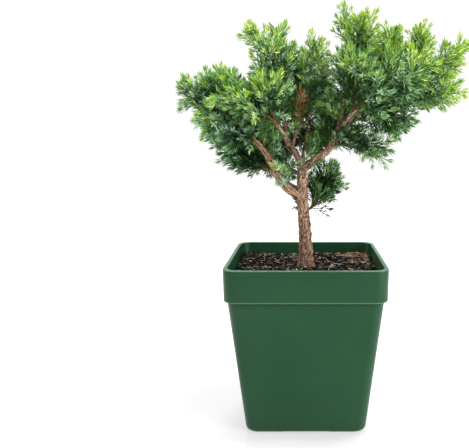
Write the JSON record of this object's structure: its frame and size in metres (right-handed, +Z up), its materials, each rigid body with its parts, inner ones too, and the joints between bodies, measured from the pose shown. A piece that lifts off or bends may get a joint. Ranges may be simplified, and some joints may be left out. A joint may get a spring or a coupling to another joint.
{
  "type": "potted conifer",
  "caption": "Young juniper grown as a small open tree on a bare trunk, with fine needle sprays, in a square tapered plastic pot with a deep rim band.",
  "frame": {"origin": "middle of the pot's flat underside", "axes": "+Z up along the pot's axis, pot sides facing +-X and +-Y, the longest bough reaching towards +X"},
  "size_m": [0.2298, 0.1379, 0.3411],
  "materials": {
    "pot": "satin dark green moulded plastic, finely matt, slightly glossier along the rim and corners",
    "potting_mix": "loose dark brown bark chips and fibre with a few pale grains",
    "bark": "flaking red-brown to grey-tan strips of bark, matt",
    "needles": "short matt green needles, yellow-green at the shoot tips"
  },
  "bodies": {
    "root": {"pot": "pot", "potting_mix": "potting_mix", "trunk": "bark", "bough_left": "bark", "bough_left_low": "bark", "bough_leader": "bark", "bough_centre": "bark", "bough_right": "bark", "bough_right_up": "bark", "bough_right_out": "bark", "bough_low_right": "bark", "bough_back_left": "bark", "bough_back": "bark", "bough_back_right": "bark", "bough_front_left": "bark", "bough_front_right": "bark", "needles_left_tip": "needles", "needles_left_up": "needles", "needles_left_low": "needles", "needles_left_inner": "needles", "needles_left_under": "needles", "needles_left_back": "needles", "needles_top_left": "needles", "needles_top_inner": "needles", "needles_centre": "needles", "needles_spike": "needles", "needles_top_right": "needles", "needles_right_crest": "needles", "needles_right_up": "needles", "needles_far_up": "needles", "needles_far_mid": "needles", "needles_right_low": "needles", "needles_right_hang": "needles", "needles_right_inner": "needles", "needles_low_right": "needles", "needles_back_left": "needles", "needles_back_low": "needles", "needles_back": "needles", "needles_back_under": "needles", "needles_back_right": "needles", "needles_back_far": "needles", "needles_front_left": "needles", "needles_front": "needles", "needles_front_right": "needles", "needles_front_far": "needles"}
  },
  "joints": []
}
